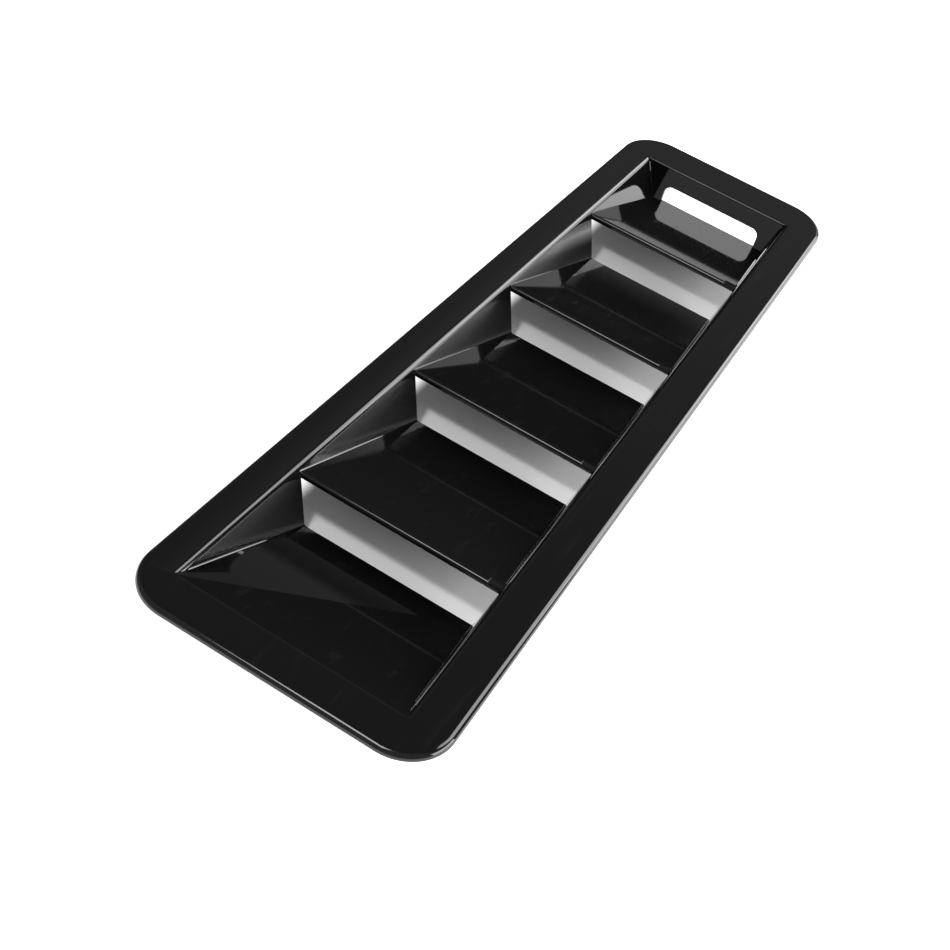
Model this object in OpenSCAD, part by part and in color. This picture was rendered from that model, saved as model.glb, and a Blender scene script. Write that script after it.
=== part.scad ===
// Louvred bonnet scoop panel: one moulded black plastic sheet, mm, +Z up.
// +Y runs from the wide near end to the narrow slotted end. The panel stands on the deep edges of its ramps.

/* [Flange] */
// length over the rim
panel_len = 425; // [340:5:560]
// width over the rim at the near end
near_w = 127; // [112:1:170]
// width over the rim at the far end
far_w = 111; // [104:1:170]
// radius of the four outer corners, seen from above
corner_r = 20; // [8:1:30]
// thickness of the moulded sheet
sheet_t = 2.5; // [1.8:0.1:3.2]
// radius of the rolled top edge of the rim
rim_r = 2.3; // [0.6:0.1:2.4]

/* [Recess] */
// rim to side wall, measured at the top of the flange
side_flange = 18.2; // [14:0.2:26]
// rim to the fold where the first ramp leaves the flange
near_flange = 16.4; // [12:0.2:30]
// rim to the slotted end wall
far_flange = 22.5; // [16:0.5:34]
// depth of the ramps' deep edges below the top of the flange
ramp_depth = 22; // [16:0.5:30]
// lean of the two side walls, degrees from upright
wall_lean = 14.5; // [6:0.5:22]
// lean of the slotted end wall, degrees from upright
end_lean = 2; // [0:0.5:8]
// radius where the flange rolls over into the walls
mouth_r = 9; // [5:0.5:10]
// radius of the creases at the foot of the walls
crease_r = 3; // [1.5:0.5:4]

/* [Louvres] */
// number of windows, one fewer than the ramps
windows = 4; // [3:1:6]
// plan length of the first ramp
first_run = 68; // [54:1:84]
// plan length from the last window to the slotted end wall
last_run = 73; // [58:1:90]
// step from each deep edge to the nose above it, along the panel
nose_step = 1.4; // [0.8:0.1:4]
// drop of each nose below the top of the flange
nose_drop = 1; // [0.5:0.1:3]
// radius on the front of each nose
nose_r = 1.7; // [0.5:0.1:2.2]

/* [Slot] */
// length of the slot in the end wall
slot_w = 54; // [24:1:60]
// height of the slot
slot_h = 9.8; // [5:0.2:11]
// radius of the slot's two upper corners; its foot runs out level with the last ramp
slot_r = 4; // [1:0.5:5]

/* [Hidden] */
$fn = 64;
half_len = panel_len / 2;
total_h = ramp_depth + sheet_t;
taper = atan((near_w - far_w) / 2 / panel_len);
lean = tan(wall_lean);
rim_round = min(rim_r, sheet_t - 0.1);
y_fold = near_flange - half_len;
y_end = half_len - far_flange;
pitch = (y_end - y_fold - first_run - last_run) / (windows - 1);
first_pitch_angle = atan(ramp_depth / first_run);
ramp_angle = atan((ramp_depth - nose_drop) / (pitch - nose_step));
last_len = last_run - nose_step;
foot_depth = (nose_drop + last_len * tan(ramp_angle)) / (1 + tan(end_lean) * tan(ramp_angle));
foot_y = y_end - tan(end_lean) * foot_depth;
nose_face = sheet_t / cos(ramp_angle);
nose_round = min(nose_r, 0.95 * nose_face * tan(45 - ramp_angle / 2));
nose_z = -nose_drop - nose_face;
slot_top = min(slot_h, foot_depth - mouth_r - 0.5);
slot_round = min(slot_r, slot_top / 2 - 0.1);
over = 5;
wide = 2 * near_w;

// plan place of a deep edge, a nose front, and the angle of a ramp
function deep_y(i) = y_fold + first_run + i * pitch;
function nose_y(i) = deep_y(i - 1) + nose_step;
function ramp_y(i) = i == 0 ? y_fold : nose_y(i);
function ramp_z(i) = i == 0 ? 0 : -nose_drop;
function angle_of(i) = i == 0 ? first_pitch_angle : ramp_angle;
function under(i) = sheet_t / cos(angle_of(i));

// height against distance across the rolled edge, the rim at x = 0 and the plate towards -x
module rim_section(inside) {
    difference() {
        translate([-inside, -sheet_t]) square([inside, sheet_t]);
        difference() {
            translate([-rim_round, -rim_round]) square(2 * rim_round);
            translate([-rim_round, -rim_round]) circle(rim_round);
        }
    }
}

// tapered plate with rolled edges and four sharp corners
module sharp_plate() {
    intersection() {
        intersection_for (side = [0, 1]) mirror([side, 0, 0])
            translate([near_w / 2, -half_len, 0]) rotate([0, 0, taper])
                translate([0, panel_len + wide, 0]) rotate([90, 0, 0])
                    linear_extrude(panel_len + 2 * wide) rim_section(2 * wide);
        along_x(2 * wide) intersection_for (side = [0, 1]) mirror([side, 0])
            translate([half_len, 0]) rim_section(2 * panel_len);
    }
}

// what rounding takes off one corner; (x, y) is the centre of the rounding, up is 1 at the far end
module corner_waste(x, y, up) {
    reach = 2 * corner_r;
    translate([x, y, 0]) difference() {
        translate([0, up > 0 ? 0 : -reach, -2 * sheet_t]) cube([reach, reach, 3 * sheet_t]);
        rotate([0, 0, 180]) rotate_extrude($fn = 96) translate([corner_r, 0]) rim_section(corner_r);
        translate([0, 0, -3 * sheet_t]) cylinder(r = corner_r - rim_round - 1, h = 5 * sheet_t);
    }
}

// tapered flange plate with rolled edges and rounded corners
module plate() {
    near_x = near_w / 2 - corner_r / cos(taper) - corner_r * tan(taper);
    far_x = far_w / 2 - corner_r / cos(taper) + corner_r * tan(taper);
    difference() {
        sharp_plate();
        for (side = [0, 1]) mirror([side, 0, 0]) {
            corner_waste(near_x, corner_r - half_len, -1);
            corner_waste(far_x, half_len - corner_r, 1);
        }
    }
}

// space inward of one side wall with its rolled mouth, x inward from the rim; skin = 0 for the face
module wall_section(skin) {
    slant = sqrt(1 + lean * lean);
    foot = side_flange - skin * slant;
    round = mouth_r - skin;
    centre_x = foot + lean * mouth_r - round * slant;
    low = -total_h - over;
    difference() {
        polygon([
            [centre_x, over],
            [wide / 2, over],
            [wide / 2, low],
            [foot - lean * low, low],
            [centre_x + round * cos(wall_lean), -mouth_r + round * sin(wall_lean)],
            [centre_x, -mouth_r],
        ]);
        translate([centre_x, -mouth_r]) circle(round);
    }
}

// space between the two side walls
module inside_walls(skin) {
    intersection_for (side = [0, 1]) mirror([side, 0, 0])
        translate([-near_w / 2, -half_len, 0]) rotate([0, 0, -taper])
            translate([0, panel_len + over, 0]) rotate([90, 0, 0])
                linear_extrude(panel_len + 2 * over) wall_section(skin);
}

// length section, drawn as [y, z]: everything nearer than the end wall, with its rolled mouth
module end_section(skin) {
    slant = 1 / cos(end_lean);
    foot = y_end + skin * slant;
    round = mouth_r - skin;
    centre = [foot - tan(end_lean) * mouth_r + round * slant, -mouth_r];
    low = -total_h - over;
    difference() {
        polygon([
            [-panel_len, over],
            [centre[0], over],
            centre,
            centre + round * [-cos(end_lean), sin(end_lean)],
            [foot + tan(end_lean) * low, low],
            [-panel_len, low],
        ]);
        translate(centre) circle(round);
    }
}

// length section of the solid: above the underside of every ramp, cut level at the feet
module solid_section() {
    reach = last_len + 2 * over;
    first_y = y_fold - under(0) / tan(angle_of(0));
    intersection() {
        polygon([
            [first_y, 0],
            for (i = [0:windows - 1]) each [
                [deep_y(i), -ramp_depth - under(i)],
                [deep_y(i), -ramp_depth],
                [nose_y(i + 1), nose_z],
            ],
            [nose_y(windows) + reach, nose_z - reach * tan(ramp_angle)],
            [nose_y(windows) + reach, 0],
        ]);
        end_section(sheet_t);
        translate([-panel_len, -total_h]) square([2 * panel_len, total_h - sheet_t / 2]);
    }
}

// length section of the space above the ramps, through the windows and round the noses
module air_section() {
    reach = last_len + 2 * over;
    intersection() {
        polygon([
            [y_fold - over / tan(angle_of(0)), over],
            for (i = [0:windows - 1]) each [
                [deep_y(i), -ramp_depth],
                [deep_y(i) + 1, -ramp_depth],
                [nose_y(i + 1) + 1, nose_z - 1],
                [nose_y(i + 1), nose_z],
                [nose_y(i + 1), -nose_drop],
            ],
            [nose_y(windows) + reach, -nose_drop - reach * tan(ramp_angle)],
            [nose_y(windows) + reach, over],
        ]);
        end_section(0);
    }
    for (i = [1:windows]) nose_relief(i);
}

// what the rounding takes off the front of nose i
module nose_relief(i) {
    y0 = nose_y(i);
    centre = [y0 + nose_round, -nose_drop - nose_round * (tan(ramp_angle) + 1 / cos(ramp_angle))];
    difference() {
        polygon([
            [y0 - 1, 0],
            [y0 - 1, centre[1]],
            centre,
            centre + nose_round * [sin(ramp_angle), cos(ramp_angle)],
            [y0 + nose_round, 0],
        ]);
        translate(centre) circle(nose_round);
    }
}

// a length section swept across the panel
module along_x(length) {
    translate([-length / 2, 0, 0]) rotate([90, 0, 90]) linear_extrude(length) children();
}

// filling of a concave corner that opens by angle from +x, kept behind its corner
module crease_fill(angle) {
    reach = crease_r / tan(angle / 2);
    back = -1.2;
    difference() {
        polygon([
            [reach, 0],
            [reach, crease_r],
            reach * [cos(angle), sin(angle)],
            back * [cos(angle / 2), sin(angle / 2)],
        ]);
        translate([reach, crease_r]) circle(crease_r);
    }
}

// crease along the foot of the left wall on ramp i, fading in below the rolled mouth
module ramp_crease(i) {
    a = angle_of(i);
    z0 = -ramp_z(i);
    start = (min(mouth_r / 2, ramp_depth / 2) - z0) / sin(a);
    run = (ramp_depth - z0) / sin(a);
    yaw = atan(cos(a) * tan(taper) + lean * sin(a) / cos(taper));
    x0 = (ramp_y(i) + half_len) * tan(taper) - near_w / 2 + (side_flange + lean * z0) / cos(taper);
    facing = (lean * cos(a) - sin(taper) * sin(a)) / sqrt(1 + lean * lean);
    corner = 180 - acos(facing);
    fade = 7;
    translate([x0, ramp_y(i), ramp_z(i)]) rotate([-a, 0, 0]) rotate([0, 0, -yaw]) intersection() {
        translate([0, run + 2 * over, 0]) rotate([90, 0, 0])
            linear_extrude(run + 2 * over - start) crease_fill(corner);
        translate([0, start, 0]) rotate([0, -corner / 2, 0]) rotate([0, 0, -fade])
            translate([-2 * crease_r, 0, -2 * crease_r]) cube([2 * crease_r, 4 * run, 4 * crease_r]);
    }
}

// crease across the foot of the end wall, half the radius of the others
module end_crease() {
    corner = 90 + end_lean + ramp_angle;
    along_x(wide) translate([foot_y, -foot_depth]) rotate(180 - ramp_angle) mirror([0, 1])
        scale(0.5) crease_fill(corner);
}

// upright crease between the left wall and the end wall, below the rolled mouth
module corner_crease() {
    x0 = -near_w / 2 + (y_end + half_len) * tan(taper) + side_flange / cos(taper);
    tip_in = lean / cos(taper) - tan(end_lean) * tan(taper);
    translate([x0, y_end, 0]) rotate([end_lean, 0, 0]) rotate([0, atan(tip_in), 0])
        translate([0, 0, -total_h]) linear_extrude(total_h - 0.75 * mouth_r)
            mirror([0, 1]) rotate(-taper) crease_fill(90 + taper);
}

// the whole panel, stood on its feet
module vent_panel() {
    color([0.05, 0.05, 0.055]) translate([0, 0, total_h]) difference() {
        union() {
            plate();
            intersection() {
                inside_walls(sheet_t);
                along_x(wide) solid_section();
            }
        }
        difference() {
            intersection() {
                inside_walls(0);
                along_x(wide) air_section();
            }
            for (side = [0, 1]) mirror([side, 0, 0]) {
                for (i = [0:windows]) ramp_crease(i);
                corner_crease();
            }
            end_crease();
        }
        slot();
    }
}

// slot through the end wall, its foot running on from the last ramp
module slot() {
    depth = sheet_t + 2 * over;
    tall = slot_top + depth * tan(ramp_angle);
    difference() {
        translate([0, foot_y + depth - over, slot_top - tall - foot_depth]) rotate([90, 0, 0])
            linear_extrude(depth) {
                translate([-slot_w / 2 + slot_round, 0]) square([slot_w - 2 * slot_round, tall]);
                translate([-slot_w / 2, 0]) square([slot_w, tall - slot_round]);
                for (x = [-1, 1])
                    translate([x * (slot_w / 2 - slot_round), tall - slot_round]) circle(slot_round);
            }
        along_x(wide) translate([foot_y, -foot_depth]) rotate(-ramp_angle)
            translate([-2 * depth, -2 * depth]) square([4 * depth, 2 * depth]);
    }
}

vent_panel();
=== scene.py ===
import math
import bpy
import bmesh
from mathutils import Matrix, Vector


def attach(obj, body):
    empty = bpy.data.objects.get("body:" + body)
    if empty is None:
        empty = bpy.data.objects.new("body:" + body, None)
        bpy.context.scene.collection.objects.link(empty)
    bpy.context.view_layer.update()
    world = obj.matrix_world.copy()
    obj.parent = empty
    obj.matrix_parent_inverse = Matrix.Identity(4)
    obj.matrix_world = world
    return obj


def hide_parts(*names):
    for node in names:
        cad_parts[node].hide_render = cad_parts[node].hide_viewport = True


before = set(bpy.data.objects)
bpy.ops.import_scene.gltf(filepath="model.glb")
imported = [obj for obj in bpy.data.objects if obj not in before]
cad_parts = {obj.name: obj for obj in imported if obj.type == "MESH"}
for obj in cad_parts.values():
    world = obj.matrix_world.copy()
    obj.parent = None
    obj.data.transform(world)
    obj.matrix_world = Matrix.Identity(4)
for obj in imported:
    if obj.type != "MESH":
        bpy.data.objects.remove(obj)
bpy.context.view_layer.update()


# ---- materials ----

def add_node(tree, kind, at, **values):
    node = tree.nodes.new(kind)
    node.location = at
    for name, value in values.items():
        setattr(node, name, value)
    return node


def moulded_gloss_group():
    """Slow waves, pores and hairline rubs of a polished moulded face: a colour factor, a roughness and a normal."""
    group = bpy.data.node_groups.new("moulded_gloss", "ShaderNodeTree")
    face = group.interface
    for name, kind, start in (
        ("Wave Size", "NodeSocketFloat", 18.0),
        ("Wave Depth", "NodeSocketFloat", 0.02),
        ("Pore Size", "NodeSocketFloat", 1400.0),
        ("Rub Size", "NodeSocketFloat", 260.0),
        ("Gloss Roughness", "NodeSocketFloat", 0.06),
        ("Worn Roughness", "NodeSocketFloat", 0.14),
    ):
        face.new_socket(name=name, in_out="INPUT", socket_type=kind).default_value = start
    for name, kind in (("Rub", "NodeSocketFloat"), ("Roughness", "NodeSocketFloat"), ("Normal", "NodeSocketVector")):
        face.new_socket(name=name, in_out="OUTPUT", socket_type=kind)
    put = add_node(group, "NodeGroupInput", (-900, 0))
    out = add_node(group, "NodeGroupOutput", (700, 0))
    place = add_node(group, "ShaderNodeTexCoord", (-900, -300))
    wave = add_node(group, "ShaderNodeTexNoise", (-600, -200), noise_dimensions="3D")
    wave.inputs["Detail"].default_value = 1.0
    pores = add_node(group, "ShaderNodeTexNoise", (-600, -450), noise_dimensions="3D")
    pores.inputs["Detail"].default_value = 3.0
    stretch = add_node(group, "ShaderNodeMapping", (-800, 250))
    stretch.inputs["Scale"].default_value = (1.0, 0.07, 1.0)
    stretch.inputs["Rotation"].default_value = (0.0, 0.0, 0.22)
    rubs = add_node(group, "ShaderNodeTexNoise", (-600, 250), noise_dimensions="3D")
    rubs.inputs["Detail"].default_value = 5.0
    rubs.inputs["Roughness"].default_value = 0.65
    keep = add_node(group, "ShaderNodeMapRange", (-350, 250))
    keep.inputs["From Min"].default_value = 0.58
    keep.inputs["From Max"].default_value = 0.78
    blend = add_node(group, "ShaderNodeMapRange", (-50, 200))
    link = group.links.new
    for node in (wave, pores):
        link(place.outputs["Object"], node.inputs["Vector"])
    link(place.outputs["Object"], stretch.inputs["Vector"])
    link(stretch.outputs["Vector"], rubs.inputs["Vector"])
    link(put.outputs["Wave Size"], wave.inputs["Scale"])
    link(put.outputs["Pore Size"], pores.inputs["Scale"])
    link(put.outputs["Rub Size"], rubs.inputs["Scale"])
    link(rubs.outputs["Fac"], keep.inputs["Value"])
    link(keep.outputs["Result"], blend.inputs["Value"])
    link(put.outputs["Gloss Roughness"], blend.inputs["To Min"])
    link(put.outputs["Worn Roughness"], blend.inputs["To Max"])
    height = add_node(group, "ShaderNodeMath", (-300, -300), operation="MULTIPLY_ADD")
    height.inputs[1].default_value = 0.0015
    link(pores.outputs["Fac"], height.inputs[0])
    link(wave.outputs["Fac"], height.inputs[2])
    bump = add_node(group, "ShaderNodeBump", (0, -200))
    bump.inputs["Distance"].default_value = 0.001
    link(put.outputs["Wave Depth"], bump.inputs["Strength"])
    link(height.outputs["Value"], bump.inputs["Height"])
    link(keep.outputs["Result"], out.inputs["Rub"])
    link(blend.outputs["Result"], out.inputs["Roughness"])
    link(bump.outputs["Normal"], out.inputs["Normal"])
    return group


def gloss_black():
    mat = bpy.data.materials.new("gloss_black_plastic")
    mat.use_nodes = True
    tree = mat.node_tree
    skin = tree.nodes["Principled BSDF"]
    skin.inputs["IOR"].default_value = 1.52
    skin.inputs["Specular IOR Level"].default_value = 0.5
    wear = add_node(tree, "ShaderNodeGroup", (-500, 0), node_tree=moulded_gloss_group())
    tint = add_node(tree, "ShaderNodeMix", (-250, 200), data_type="RGBA")
    tint.inputs["A"].default_value = (0.0035, 0.0035, 0.0038, 1)
    tint.inputs["B"].default_value = (0.008, 0.008, 0.0085, 1)
    tree.links.new(wear.outputs["Rub"], tint.inputs["Factor"])
    tree.links.new(tint.outputs["Result"], skin.inputs["Base Color"])
    tree.links.new(wear.outputs["Roughness"], skin.inputs["Roughness"])
    tree.links.new(wear.outputs["Normal"], skin.inputs["Normal"])
    return mat


def white_table():
    """A white table that glows out to its edges and is plain matt white under the louvres. The glow is painted light
    that washes out the panel's cast shadow, as in a shadowless product shot.
    """
    mat = bpy.data.materials.new("white_table")
    mat.use_nodes = True
    tree = mat.node_tree
    skin = tree.nodes["Principled BSDF"]
    skin.inputs["Roughness"].default_value = 0.6
    skin.inputs["Base Color"].default_value = (0.87, 0.87, 0.875, 1)
    place = add_node(tree, "ShaderNodeTexCoord", (-1300, 0))
    axes = add_node(tree, "ShaderNodeSeparateXYZ", (-1100, 0))
    tree.links.new(place.outputs["Object"], axes.inputs["Vector"])
    side = add_node(tree, "ShaderNodeMath", (-900, 150), operation="ABSOLUTE")
    tree.links.new(axes.outputs["X"], side.inputs[0])
    lean = add_node(tree, "ShaderNodeMath", (-700, 150), operation="MULTIPLY_ADD")
    lean.inputs[1].default_value = 0.0188
    tree.links.new(axes.outputs["Y"], lean.inputs[0])
    tree.links.new(side.outputs["Value"], lean.inputs[2])
    out_x = add_node(tree, "ShaderNodeMapRange", (-500, 150), interpolation_type="SMOOTHSTEP")
    out_x.inputs["From Min"].default_value = 0.0440
    out_x.inputs["From Max"].default_value = 0.0520
    tree.links.new(lean.outputs["Value"], out_x.inputs["Value"])
    near = add_node(tree, "ShaderNodeMapRange", (-500, -100), interpolation_type="SMOOTHSTEP")
    near.inputs["From Min"].default_value = -0.150
    near.inputs["From Max"].default_value = -0.185
    far = add_node(tree, "ShaderNodeMapRange", (-500, -350), interpolation_type="SMOOTHSTEP")
    far.inputs["From Min"].default_value = 0.160
    far.inputs["From Max"].default_value = 0.190
    for node in (near, far):
        tree.links.new(axes.outputs["Y"], node.inputs["Value"])
    ends = add_node(tree, "ShaderNodeMath", (-300, -200), operation="MAXIMUM")
    tree.links.new(near.outputs["Result"], ends.inputs[0])
    tree.links.new(far.outputs["Result"], ends.inputs[1])
    # painted glow mask: 1 out past the recess, 0 under the louvres, so the table glows where the panel's shadow would
    # fall
    painted_glow_mask = add_node(tree, "ShaderNodeMath", (-150, 0), operation="MAXIMUM")
    tree.links.new(out_x.outputs["Result"], painted_glow_mask.inputs[0])
    tree.links.new(ends.outputs["Value"], painted_glow_mask.inputs[1])
    # painted light: white emission on the table where the mask is 1, hiding the panel's cast shadow; under the louvres
    # the table keeps its real shade
    glow = add_node(tree, "ShaderNodeMix", (0, 0), data_type="RGBA")
    glow.inputs["A"].default_value = (0, 0, 0, 1)
    glow.inputs["B"].default_value = (1, 1, 1, 1)
    tree.links.new(painted_glow_mask.outputs["Value"], glow.inputs["Factor"])
    tree.links.new(glow.outputs["Result"], skin.inputs["Emission Color"])
    skin.inputs["Emission Strength"].default_value = 1.0
    return mat


# ---- sizes of the moulded panel, metres, as in the part's own source ----

LENGTH = 0.425
NEAR_W, FAR_W = 0.127, 0.111
CORNER_R = 0.020
SHEET = 0.0025
RIM_R = 0.0023
HEIGHT = 0.0245
DEPTH = 0.022
FOLD_Y = -0.1961
END_Y = 0.190
DEEP_Y = (-0.1281, -0.0464, 0.0353, 0.1170)
NOSE_STEP = 0.0044
NOSE_DROP = 0.0020
NOSE_FACE = 0.0027
NOSE_R = 0.0017
WALL_IN = {-1: 0.0148, 1: 0.0184}
WALL_LEAN = {-1: math.radians(24.2), 1: math.radians(14.5)}
WALL_TAPER = {-1: math.atan(0.0214), 1: math.atan(0.0188)}
END_LEAN = math.radians(2.0)
MOUTH_R = {-1: 0.0031, 1: 0.0040}
END_MOUTH_R = 0.0008
FOLD_R = 0.0040
CREASE_R = 0.0026
SLOT_W, SLOT_H, SLOT_R = 0.054, 0.0098, 0.0040
TAPER = math.atan((NEAR_W - FAR_W) / 2 / LENGTH)
CLEAR = 0.006


# ---- moulded panel ----

def half_width(y):
    return NEAR_W / 2 - (y + LENGTH / 2) * math.tan(TAPER)


def prism(points, axis, reach):
    """A closed body with one flat outline, drawn in the two other axes, pushed along one axis from -reach to reach."""
    bm = bmesh.new()
    if axis == "X":
        verts = [bm.verts.new((-reach, y, z)) for y, z in points]
        way = (2 * reach, 0, 0)
    else:
        verts = [bm.verts.new((x, -reach, z)) for x, z in points]
        way = (0, 2 * reach, 0)
    face = bm.faces.new(verts)
    grown = bmesh.ops.extrude_face_region(bm, geom=[face])["geom"]
    bmesh.ops.translate(bm, vec=way, verts=[g for g in grown if isinstance(g, bmesh.types.BMVert)])
    bmesh.ops.recalc_face_normals(bm, faces=bm.faces)
    return bm


def cut(bm, place, normal):
    """Saw off what lies beyond a plane and close the cut."""
    geom = bm.verts[:] + bm.edges[:] + bm.faces[:]
    made = bmesh.ops.bisect_plane(bm, geom=geom, dist=1e-6, plane_co=place, plane_no=normal, clear_outer=True)
    rim = [g for g in made["geom_cut"] if isinstance(g, bmesh.types.BMEdge)]
    bmesh.ops.holes_fill(bm, edges=rim)
    bmesh.ops.recalc_face_normals(bm, faces=bm.faces)


def wall_normal(side):
    """The way from the air into a side wall, which leans in as it goes down and closes in towards the far end."""
    lean, taper = WALL_LEAN[side], WALL_TAPER[side]
    return Vector((side * math.cos(lean) * math.cos(taper), math.cos(lean) * math.sin(taper), -math.sin(lean)))


def cut_to_walls(bm, skin):
    """Trim a body to the two side walls and the end wall; skin is 0 for their faces and SHEET for their backs."""
    for side in (-1, 1):
        out = wall_normal(side)
        cut(bm, Vector((side * (half_width(0) - WALL_IN[side]), 0, HEIGHT)) + out * skin, out)
    out = Vector((0, math.cos(END_LEAN), -math.sin(END_LEAN)))
    cut(bm, Vector((0, END_Y, HEIGHT)) + out * skin, out)


def edges_where(bm, test):
    return [e for e in bm.edges if len(e.link_faces) == 2 and test(e)]


def bevel(bm, edges, offset, segments):
    bmesh.ops.bevel(bm, geom=edges, offset=offset, offset_type="OFFSET", segments=segments, profile=0.5,
                    affect="EDGES", material=-1, clamp_overlap=True)


def ramp_slope(i):
    if i == 0:
        return DEPTH / (DEEP_Y[0] - FOLD_Y)
    return (DEPTH - NOSE_DROP) / (DEEP_Y[1] - DEEP_Y[0] - NOSE_STEP)


def flange_plate():
    bm = bmesh.new()
    near, far = -LENGTH / 2, LENGTH / 2
    corners = [(-NEAR_W / 2, near), (NEAR_W / 2, near), (FAR_W / 2, far), (-FAR_W / 2, far)]
    face = bm.faces.new([bm.verts.new((x, y, HEIGHT - SHEET)) for x, y in corners])
    grown = bmesh.ops.extrude_face_region(bm, geom=[face])["geom"]
    bmesh.ops.translate(bm, vec=(0, 0, SHEET), verts=[g for g in grown if isinstance(g, bmesh.types.BMVert)])
    bmesh.ops.recalc_face_normals(bm, faces=bm.faces)
    upright = edges_where(bm, lambda e: abs(e.verts[0].co.z - e.verts[1].co.z) > SHEET / 2)
    bevel(bm, upright, CORNER_R, 20)
    top = edges_where(bm, lambda e: min(v.co.z for v in e.verts) > HEIGHT - 1e-5)
    bevel(bm, top, RIM_R, 8)
    return bm


def trough_body():
    """The solid under the mouth: ramps, walls and end wall, before the air is taken out."""
    under = [SHEET * math.sqrt(1 + ramp_slope(i) ** 2) for i in range(5)]
    roof = HEIGHT - SHEET / 2
    points = [(FOLD_Y - (under[0] - SHEET / 2) / ramp_slope(0), roof)]
    for i, y in enumerate(DEEP_Y):
        points += [(y, HEIGHT - DEPTH - under[i]), (y, HEIGHT - DEPTH), (y + NOSE_STEP, HEIGHT - NOSE_DROP - NOSE_FACE)]
    reach = END_Y + 2 * CLEAR
    points += [(reach, HEIGHT - NOSE_DROP - NOSE_FACE - (reach - DEEP_Y[3] - NOSE_STEP) * ramp_slope(4)), (reach, roof)]
    bm = prism(points, "X", NEAR_W)
    cut_to_walls(bm, SHEET)
    cut(bm, Vector((0, 0, 0)), Vector((0, 0, -1)))
    return bm


def air_body():
    """The air over the ramps and through the windows, with the creases and noses rounded."""
    sky = HEIGHT + CLEAR
    bend = math.atan(ramp_slope(0))
    start = FOLD_Y - FOLD_R * math.tan(bend / 2)
    points = [(start - 0.0002, sky), (start - 0.0002, HEIGHT)]
    points += [(start + FOLD_R * math.sin(bend * i / 4), HEIGHT - FOLD_R * (1 - math.cos(bend * i / 4))) for i in range(1, 5)]
    for y in DEEP_Y:
        nose = y + NOSE_STEP
        points += [(y, HEIGHT - DEPTH), (y + 0.001, HEIGHT - DEPTH - 0.0002),
                   (nose + 0.001, HEIGHT - NOSE_DROP - NOSE_FACE - 0.001),
                   (nose, HEIGHT - NOSE_DROP - NOSE_FACE), (nose, HEIGHT - NOSE_DROP)]
    reach = END_Y + 2 * CLEAR
    points += [(reach, HEIGHT - NOSE_DROP - (reach - DEEP_Y[3] - NOSE_STEP) * ramp_slope(4)), (reach, sky)]
    bm = prism(points, "X", NEAR_W)
    cut_to_walls(bm, 0.0)

    def is_nose(e):
        return all(abs(v.co.z - (HEIGHT - NOSE_DROP)) < 1e-5 for v in e.verts) and abs(e.verts[0].co.y - e.verts[1].co.y) < 1e-5

    def is_crease(e):
        a, b = e.link_faces
        flat = sorted((a.normal, b.normal), key=lambda n: abs(n.x))
        onto_ramp = abs(flat[0].x) < 0.01 and flat[0].z < -0.9 and abs(flat[1].x) > 0.8
        end_corner = abs(flat[0].x) < 0.1 and flat[0].y > 0.95 and abs(flat[1].x) > 0.8
        return onto_ramp or end_corner

    def is_end_crease(e):
        a, b = e.link_faces
        return min(a.normal.z, b.normal.z) < -0.9 and max(a.normal.y, b.normal.y) > 0.95 and abs(a.normal.x) < 0.1 and abs(b.normal.x) < 0.1

    bevel(bm, edges_where(bm, is_crease), CREASE_R, 8)
    bevel(bm, edges_where(bm, is_nose), NOSE_R, 6)
    return bm


def slot_body():
    foot = HEIGHT - NOSE_DROP - (END_Y - DEEP_Y[3] - NOSE_STEP) * ramp_slope(4)
    bm = bmesh.new()
    bmesh.ops.create_cube(bm, size=1.0)
    bmesh.ops.scale(bm, vec=(SLOT_W, 0.012, SLOT_H * 1.4), verts=bm.verts)
    bmesh.ops.translate(bm, vec=(0, END_Y + 0.0035, foot + SLOT_H - SLOT_H * 0.7), verts=bm.verts)
    top = edges_where(bm, lambda e: abs(e.verts[0].co.y - e.verts[1].co.y) > 0.005 and e.verts[0].co.z > foot)
    bevel(bm, top, SLOT_R, 8)
    slope = ramp_slope(4)
    cut(bm, Vector((0, END_Y, foot)), Vector((0, -slope, -1)).normalized())
    return bm


def roll_section(radius, turn, steps):
    """The air over a rolled lip, beside the lip's start: how far in and how far down, from the flange to the wall."""
    arc = [(radius * math.sin(turn * i / steps), radius * (1 - math.cos(turn * i / steps))) for i in range(steps + 1)]
    deep = arc[-1][1]
    return [(0.0, -CLEAR)] + arc + [(arc[-1][0] + 2 * deep, deep), (arc[-1][0] + 2 * deep, -CLEAR)]


def side_mouth_body(side):
    """The air that rounds the lip of one long side, stopped by the first ramp and by the end wall."""
    radius, turn = MOUTH_R[side], math.pi / 2 - WALL_LEAN[side]
    lip = WALL_IN[side] - radius * math.tan(turn / 2)
    section = [(-side * across, HEIGHT - down) for across, down in roll_section(radius, turn, 8)]
    bm = prism(section, "Y", LENGTH)
    bmesh.ops.rotate(bm, cent=(0, 0, 0), matrix=Matrix.Rotation(side * WALL_TAPER[side], 3, "Z"), verts=bm.verts)
    bmesh.ops.translate(bm, vec=(side * (half_width(0) - lip), 0, 0), verts=bm.verts)
    slope = ramp_slope(0)
    cut(bm, Vector((0, FOLD_Y, HEIGHT)), Vector((0, -slope, -1)).normalized())
    cut(bm, Vector((0, END_Y, HEIGHT)), Vector((0, math.cos(END_LEAN), -math.sin(END_LEAN))))
    return bm


def end_mouth_body():
    """The air that rounds the lip of the end wall, between the two side walls."""
    turn = math.pi / 2 - END_LEAN
    start = END_Y + END_MOUTH_R * math.tan(turn / 2)
    section = [(start - across, HEIGHT - down) for across, down in roll_section(END_MOUTH_R, turn, 5)]
    bm = prism(section, "X", NEAR_W)
    for side in (-1, 1):
        out = wall_normal(side)
        cut(bm, Vector((side * (half_width(0) - WALL_IN[side]), 0, HEIGHT)), out)
    return bm


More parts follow.
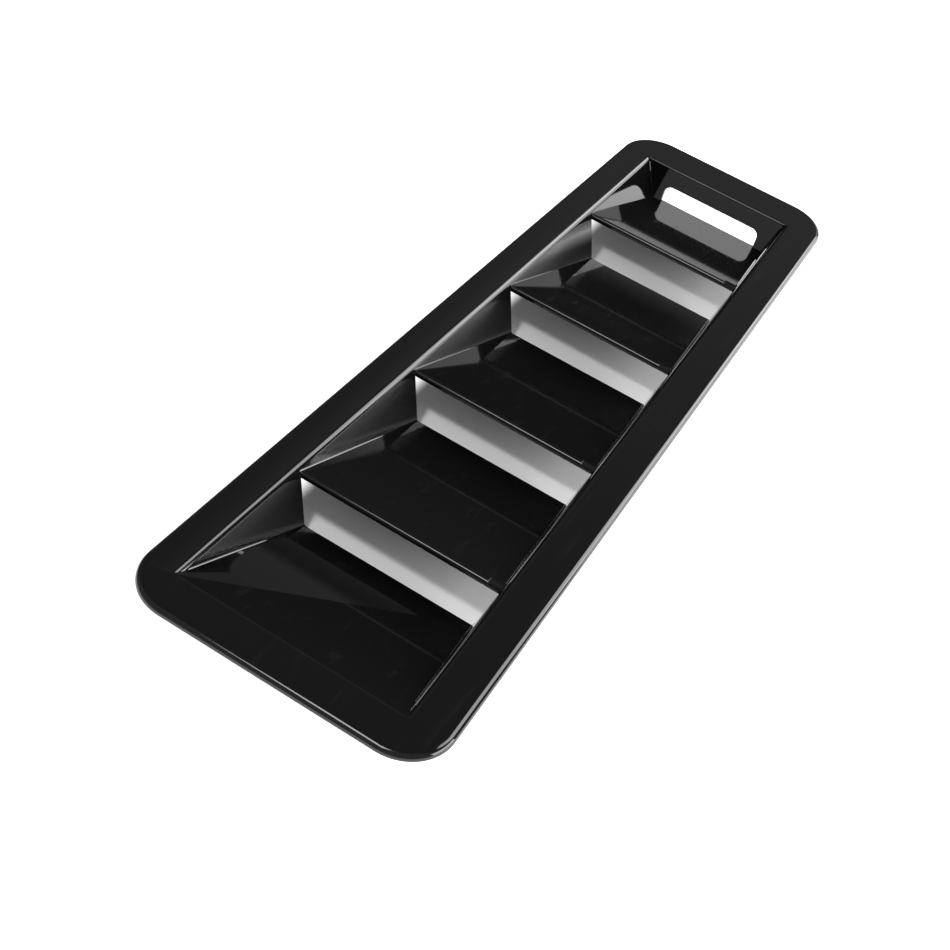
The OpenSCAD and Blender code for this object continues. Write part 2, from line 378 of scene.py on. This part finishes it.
def joined(target, other, how):
    """One body joined to or cut from another."""
    host = bpy.data.objects.new("host", bpy.data.meshes.new("host"))
    tool = bpy.data.objects.new("tool", bpy.data.meshes.new("tool"))
    target.to_mesh(host.data)
    other.to_mesh(tool.data)
    for thing in (host, tool):
        bpy.context.collection.objects.link(thing)
    step = host.modifiers.new("join", "BOOLEAN")
    step.operation = how
    step.object = tool
    step.solver = "MANIFOLD"
    seen = host.evaluated_get(bpy.context.evaluated_depsgraph_get())
    out = bmesh.new()
    out.from_mesh(seen.to_mesh())
    for thing in (host, tool):
        mesh = thing.data
        bpy.data.objects.remove(thing)
        bpy.data.meshes.remove(mesh)
    target.free()
    other.free()
    return out


def moulded_panel(material):
    body = joined(flange_plate(), trough_body(), "UNION")
    body = joined(body, air_body(), "DIFFERENCE")
    for side in (-1, 1):
        body = joined(body, side_mouth_body(side), "DIFFERENCE")
    body = joined(body, end_mouth_body(), "DIFFERENCE")
    body = joined(body, slot_body(), "DIFFERENCE")
    bmesh.ops.remove_doubles(body, verts=body.verts, dist=2e-6)
    bmesh.ops.dissolve_limit(body, angle_limit=math.radians(0.3), verts=body.verts, edges=body.edges)
    for face in body.faces:
        face.smooth = True
    for edge in body.edges:
        edge.smooth = len(edge.link_faces) == 2 and edge.calc_face_angle(0.0) < math.radians(24)
    mesh = bpy.data.meshes.new("vent_panel_skin")
    body.to_mesh(mesh)
    body.free()
    mesh.materials.append(material)
    thing = bpy.data.objects.new("vent_panel_skin", mesh)
    bpy.context.collection.objects.link(thing)
    even = thing.modifiers.new("flat_faces_first", "WEIGHTED_NORMAL")
    even.weight = 100
    even.keep_sharp = True
    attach(thing, "root")
    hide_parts("vent_panel")
    return thing


panel = moulded_panel(gloss_black())


# ---- stage, light and camera ----

def floor():
    mesh = bpy.data.meshes.new("floor")
    bm = bmesh.new()
    bmesh.ops.create_grid(bm, x_segments=1, y_segments=1, size=3.0)
    bm.to_mesh(mesh)
    bm.free()
    thing = bpy.data.objects.new("floor", mesh)
    bpy.context.collection.objects.link(thing)
    mesh.materials.append(white_table())


def softbox(name, towards, distance, size, radiance, aim=(0, 0, 0.02)):
    """A soft panel of light in the direction towards from the object, facing it."""
    lamp = bpy.data.lights.new(name, "AREA")
    lamp.shape = "RECTANGLE"
    lamp.size, lamp.size_y = size
    lamp.energy = radiance * math.pi * size[0] * size[1]
    thing = bpy.data.objects.new(name, lamp)
    bpy.context.collection.objects.link(thing)
    way = Vector(towards).normalized()
    thing.location = Vector(aim) + way * distance
    thing.rotation_euler = way.to_track_quat("Z", "Y").to_euler()
    return thing


def camera():
    lens = bpy.data.cameras.new("camera")
    lens.sensor_width = 36.0
    lens.lens = 58.05
    thing = bpy.data.objects.new("camera", lens)
    bpy.context.collection.objects.link(thing)
    right = Vector((0.8475, 0.48158, 0.22319))
    up = Vector((-0.48269, 0.52436, 0.70147))
    back = right.cross(up).normalized()
    turn = Matrix((right, up, back)).transposed()
    thing.matrix_world = Matrix.Translation((0.13717, -0.4968, 0.42577)) @ turn.to_4x4()
    bpy.context.scene.camera = thing


def dark_room():
    """A room that is dim behind the object, darkest low down, and paler to the sides and in front."""
    world = bpy.data.worlds.new("dark_room")
    bpy.context.scene.world = world
    world.use_nodes = True
    tree = world.node_tree
    air = tree.nodes["Background"]
    place = add_node(tree, "ShaderNodeTexCoord", (-1100, 0))
    axes = add_node(tree, "ShaderNodeSeparateXYZ", (-900, 0))
    tree.links.new(place.outputs["Generated"], axes.inputs["Vector"])
    height = add_node(tree, "ShaderNodeValToRGB", (-600, 200))
    ramp = height.color_ramp
    for at, value in ((0.0, 0.02), (0.25, 0.02), (0.5, 0.2), (0.7, 0.12), (0.85, 0.1)):
        stop = ramp.elements[0] if at == 0.0 else ramp.elements.new(at)
        stop.position = at
        stop.color = (value * 0.98, value, value * 1.0, 1)
    ramp.elements[-1].color = (0.1, 0.1, 0.105, 1)
    tree.links.new(axes.outputs["Z"], height.inputs["Fac"])
    front = add_node(tree, "ShaderNodeMapRange", (-600, -100), interpolation_type="SMOOTHSTEP")
    front.inputs["From Min"].default_value = 0.35
    front.inputs["From Max"].default_value = -0.1
    tree.links.new(axes.outputs["Y"], front.inputs["Value"])
    blend = add_node(tree, "ShaderNodeMix", (-300, 0), data_type="RGBA")
    blend.inputs["B"].default_value = (0.36, 0.36, 0.37, 1)
    tree.links.new(front.outputs["Result"], blend.inputs["Factor"])
    tree.links.new(height.outputs["Color"], blend.inputs["A"])
    tree.links.new(blend.outputs["Result"], air.inputs["Color"])


floor()
dark_room()
key = softbox("key_lamp", (-0.27, -0.31, 0.67), 0.81, (0.14, 0.09), 60.0)
key.visible_glossy = False
front = softbox("front_softbox", (-0.126, -0.387, 0.913), 1.2, (0.35, 0.45), 9.0)
front.visible_diffuse = False
softbox("rear_softbox", (0.45, 0.85, 0.92), 1.33, (0.84, 1.10), 6.0)
softbox("right_softbox", (0.56, 0.83, 0.25), 1.5, (0.75, 0.80), 4.0)
softbox("low_softbox", (0.135, 1.0, 0.347), 1.35, (0.36, 0.42), 1.2)
slot_glow = softbox("slot_softbox", (-0.25, 1.0, 0.055), 1.5, (0.80, 0.12), 0.8)
slot_glow.visible_diffuse = False
softbox("side_softbox", (0.98, 0.12, 0.28), 1.2, (0.90, 0.62), 8.0)
bpy.context.scene.view_settings.view_transform = "Standard"
camera()
